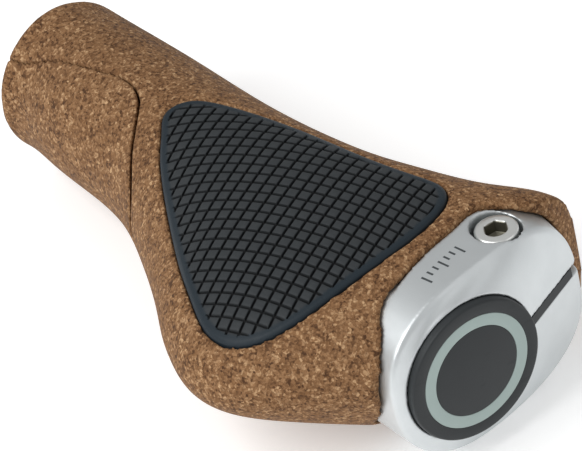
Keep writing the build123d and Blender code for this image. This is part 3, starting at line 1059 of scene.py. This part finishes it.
# ---- bolt
@dataclass
class PinchBolt:
    """The M5 socket-head bolt and its washer."""

    flats: float = 4.0 * MM
    socket_depth: float = 2.6 * MM
    pitch: float = 0.8 * MM
    thread_depth: float = 0.42 * MM
    thread_row: float = 0.1 * MM
    shank_r: float = 2.5 * MM
    knurls: int = 48
    knurl_depth: float = 0.09 * MM
    columns: int = 192
    head_height: float = 5.0 * MM
    washer_columns: int = 96
    washer_hole: float = 2.6 * MM
    washer_round: float = 0.18 * MM
    seat_gap: float = 0.02 * MM
    bolt_crease: float = 34.0
    washer_crease: float = 40.0

    def build(self) -> None:
        """Builds the bolt and the washer."""
        steel = PlatedFinish().build()
        low, high = (Vector(c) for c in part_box("pinch_bolt"))
        centre = Vector(((low.x + high.x) / 2, (low.y + high.y) / 2, 0))
        head_r = (high.x - low.x) / 2
        rows, kinds = self._rows(low.z, high.z, head_r)

        def radius_at(row: int, angle: float, radius: float) -> float:
            """Radius of a row at an angle, with its knurl, thread or hexagon."""
            kind = kinds[row]
            if kind == "knurl":
                wave = 0.5 + 0.5 * math.cos(self.knurls * angle)
                return radius - self.knurl_depth * wave ** 0.7
            if kind == "hex":
                sector = (angle + math.pi / 6) % (math.pi / 3) - math.pi / 6
                return radius / math.cos(sector)
            if kind == "thread":
                phase = (rows[row][1] / self.pitch - angle / (2 * math.pi)) % 1.0
                return radius - self.thread_depth * abs(2 * phase - 1)
            return radius

        points, faces = turned(rows, centre, Axle.ALONG_Z, self.columns, radius_at)
        bolt = mesh_object("pinch_bolt_knurled", points, faces)
        # the socket's walls and floor are marked for painted shade in the steel's colour
        socket_shade = [float(kind in ("hex", "floor")) for kind in kinds]
        store(bolt, "socket_shade", np.repeat(socket_shade, self.columns))
        crease_by_angle(bolt, self.bolt_crease)
        dress(bolt, steel, "bolt", "bolt_steel", "pinch_bolt")
        self._washer(steel)

    def _rows(self, bottom: float, top: float, head_r: float) -> tuple[Profile, list[str]]:
        """The bolt's profile from its tip to the floor of its socket.

        Args:
            bottom: height of the tip.
            top: height of the head's face.
            head_r: radius of the head.

        Returns:
            Rows of (radius, height), and what each row is.
        """
        shank_r, base = self.shank_r, top - self.head_height
        hex_r = self.flats / 2
        socket_floor = top - self.socket_depth
        rows = [(0.0, bottom), (shank_r - 0.7 * MM, bottom),
                (shank_r - 0.45 * MM, bottom + 0.3 * MM)]
        kinds = ["plain"] * 3
        z = bottom + 0.5 * MM
        while z < base - 0.8 * MM:
            rows.append((shank_r - 0.02 * MM, z))
            kinds.append("thread")
            z += self.thread_row
        rim = ((0.04, 0.95), (0.04, 0.55), (0.14, 0.3), (0.34, 0.1), (0.6, 0.0))
        mouth = ((0.55, 0.0, "plain"), (0.38, 0.03, "plain"), (0.02, 0.28, "hex"),
                 (0.0, 0.4, "hex"))
        head = [(shank_r - 0.1 * MM, base - 0.5 * MM, "plain"), (shank_r, base, "plain"),
                (head_r - 0.35 * MM, base, "plain"), (head_r - 0.05 * MM, base + 0.3 * MM, "plain"),
                (head_r, base + 0.5 * MM, "knurl"), (head_r, top - 1.15 * MM, "knurl")]
        head += [(head_r - inset * MM, top - drop * MM, "plain") for inset, drop in rim]
        head += [(hex_r + flare * MM, top - drop * MM, kind) for flare, drop, kind in mouth]
        head += [(hex_r, socket_floor + 0.1 * MM, "hex"), (hex_r - 0.15 * MM, socket_floor, "hex"),
                 (0.6 * MM, socket_floor - 0.3 * MM, "floor"),
                 (0.0, socket_floor - 0.5 * MM, "floor")]
        rows += [(r, h) for r, h, _ in head]
        kinds += [kind for _, _, kind in head]
        return rows, kinds

    def _washer(self, steel: Material) -> None:
        """Builds the washer with rounded edges."""
        low, high = (Vector(c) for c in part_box("bolt_washer"))
        centre = Vector(((low.x + high.x) / 2, (low.y + high.y) / 2, low.z))
        outer, thick = (high.x - low.x) / 2, high.z - low.z - self.seat_gap
        washer = eased_ring("pinch_washer", centre, Axle.ALONG_Z, self.washer_columns,
                            (self.washer_hole, outer), (0.0, thick), self.washer_round, 4)
        store(washer, "socket_shade", [0.0] * len(washer.data.vertices))
        crease_by_angle(washer, self.washer_crease)
        dress(washer, steel, "washer", "bolt_steel", "bolt_washer")


# ---- end plug
@dataclass
class EndPlug:
    """The push-in end plug: a disc with a rounded rim, six snap fingers and an inlaid ring."""

    finger_count: int = 6
    finger_gap: float = 1.6 * MM
    skirt_r: float = 12.65 * MM
    skirt_wall: float = 1.2 * MM
    skirt_length: float = 3.0 * MM
    skirt_steps: int = 14
    disc_thick: float = 3.0 * MM
    disc_round: float = 0.8 * MM
    ring_inner: float = 9.2 * MM
    ring_gap: float = 0.02 * MM
    columns: int = 192
    crease: float = 40.0

    def build(self) -> None:
        """Builds the plug and its ring."""
        low, high = (Vector(c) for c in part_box("end_cap"))
        ring_low, ring_high = (Vector(c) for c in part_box("cap_ring"))
        centre = Vector((0, (low.y + high.y) / 2, (low.z + high.z) / 2))
        radius, face = (high.y - low.y) / 2, high.x
        back = face - self.disc_thick
        outer, inner = (ring_high.y - ring_low.y) / 2, self.ring_inner
        floor, slot = ring_low.x, self.ring_gap
        corners = [(0.0, back), (radius - 0.1 * MM, back), (radius, back + 0.2 * MM),
                   (radius, face - 0.1 * MM), (radius - 1.1 * MM, face), (outer + slot, face),
                   (outer + slot, floor), (inner - slot, floor), (inner - slot, face), (0.0, face)]
        profile = [corners[0], (0.3 * MM, back)] + rounded(corners[1:5], self.disc_round, 6)
        profile += rounded(corners[4:], 0.12 * MM, 2)[1:]
        points, faces = turned(profile, centre, Axle.ALONG_X, self.columns)
        points, faces = self._with_fingers(points, faces, centre, back)
        plug = mesh_object("end_plug", points, faces)
        crease_by_angle(plug, self.crease)
        dress(plug, CAP_SLATE.build(), "plug", "cap_plastic", "end_cap")
        self._ring(centre, outer - slot, inner + slot, floor, face)

    def _with_fingers(self, points: np.ndarray, faces: Faces, centre: Vector,
                      back: float) -> tuple[np.ndarray, Faces]:
        """Adds the six snap fingers, each a closed curved wall.

        Args:
            points: the disc's points.
            faces: the disc's faces.
            centre: the plug's axis.
            back: where the disc's back face lies.

        Returns:
            All points and faces.
        """
        out, steps = [points], self.skirt_steps
        tip, root = back - self.skirt_length, back + 0.2 * MM
        outer, inner = self.skirt_r - 0.1 * MM, self.skirt_r - self.skirt_wall
        sides = [(inner, root), (outer, root), (outer, tip + 1.0 * MM),
                 (self.skirt_r, tip + 0.6 * MM), (self.skirt_r - 0.3 * MM, tip), (inner, tip)]
        count = len(points)
        for finger in range(self.finger_count):
            half_gap = self.finger_gap / 2 / self.skirt_r
            begin = 2 * math.pi * finger / self.finger_count + half_gap
            span = 2 * math.pi / self.finger_count - 2 * half_gap
            block = []
            for i in range(steps + 1):
                angle = begin + span * i / steps
                block += [(x, r * math.cos(angle), r * math.sin(angle)) for r, x in sides]
            out.append(np.array(block) + np.array(centre))
            faces += closed_tube(steps + 1, len(sides), count)
            count += len(block)
        return np.vstack(out), faces

    def _ring(self, centre: Vector, outer: float, inner: float, floor: float, face: float) -> None:
        """Builds the inlaid ring, its edges eased."""
        ends = (floor + 0.02 * MM, face - 0.01 * MM)
        ring = eased_ring("cap_inlay_ring", centre, Axle.ALONG_X, self.columns, (inner, outer),
                          ends, 0.1 * MM, 2)
        crease_by_angle(ring, self.crease)
        dress(ring, RING_GREY.build(), "plug", "ring_plastic", "cap_ring")


# ---- studio
@dataclass
class Studio:
    """A pale floor, broad soft lamps and the camera."""

    aim: tuple[float, float, float] = (0.07071, 0.003753, -0.002957)
    azimuth: float = 61.20
    elevation: float = 38.11
    roll: float = 12.51
    distance: float = 1.0
    lens: float = 325.23
    key_place: tuple[float, float, float] = (0.05, -0.65, 0.75)
    key_size: float = 0.7
    key_power: float = 7.0
    side_place: tuple[float, float, float] = (0.75, 0.45, 0.55)
    side_size: float = 0.5
    side_power: float = 0.5
    sky: float = 0.5
    floor_reach: float = 3.0
    floor_cells: int = 24
    floor_drop: float = 0.05 * MM

    def build(self) -> None:
        """Builds the whole studio."""
        self._floor()
        self._lamp("key_lamp", Vector(self.key_place), self.key_size, self.key_power)
        self._lamp("side_lamp", Vector(self.side_place), self.side_size, self.side_power)
        self._world()
        self._camera()
        bpy.context.scene.view_settings.view_transform = "Standard"

    def _floor(self) -> None:
        """Lays a wide floor just under the grip."""
        z = Vector(CAD_BOX[0]).z - self.floor_drop
        cells = self.floor_cells
        line = np.linspace(-self.floor_reach, self.floor_reach, cells + 1)
        x, y = np.meshgrid(line, line, indexing="ij")
        points = np.column_stack([x.ravel(), y.ravel(), np.full(x.size, z)])
        n = cells + 1
        faces = [(i * n + j, (i + 1) * n + j, (i + 1) * n + j + 1, i * n + j + 1)
                 for i in range(cells) for j in range(cells)]
        floor = mesh_object("studio_floor", points, faces)
        floor.data.materials.append(FloorFinish().build())

    def _lamp(self, name: str, place: Vector, size: float, power: float) -> None:
        """Hangs one square area lamp that faces the grip."""
        lamp = bpy.data.lights.new(name, "AREA")
        lamp.shape, lamp.size, lamp.energy = "SQUARE", size, power
        holder = linked(name, lamp)
        holder.location = place
        holder.rotation_euler = (place - Vector(self.aim)).to_track_quat("Z", "Y").to_euler()

    def _world(self) -> None:
        """Gives the surroundings an even pale light."""
        world = bpy.data.worlds.new("pale_room")
        world.use_nodes = True
        back = world.node_tree.nodes["Background"]
        back.inputs["Color"].default_value = (1.0, 1.0, 1.0, 1.0)
        back.inputs["Strength"].default_value = self.sky
        bpy.context.scene.world = world

    def _camera(self) -> None:
        """Places the camera by its two angles, its roll and its distance."""
        a, e, r = (math.radians(v) for v in (self.azimuth, self.elevation, self.roll))
        back = Vector((math.sin(a) * math.cos(e), -math.cos(a) * math.cos(e), math.sin(e)))
        level = Vector((math.cos(a), math.sin(a), 0))
        rise = back.cross(level)
        right = level * math.cos(r) - rise * math.sin(r)
        up = rise * math.cos(r) + level * math.sin(r)
        lens = bpy.data.cameras.new("camera")
        lens.lens, lens.sensor_width = self.lens, 36.0
        lens.clip_start, lens.clip_end = 0.01, 20.0
        camera = linked("camera", lens)
        turn = Matrix((right, up, back)).transposed().to_4x4()
        camera.matrix_world = Matrix.Translation(Vector(self.aim) + back * self.distance) @ turn
        bpy.context.scene.camera = camera


def main() -> None:
    """Builds every sub-assembly in order."""
    logging.basicConfig(level=logging.INFO, format="%(name)s: %(message)s")
    for part in (Studio(), CorkCover(), PalmPad(), Collar(), PinchBolt(), EndPlug()):
        log.info("building %s", type(part).__name__)
        part.build()


if __name__ == "__main__":
    main()
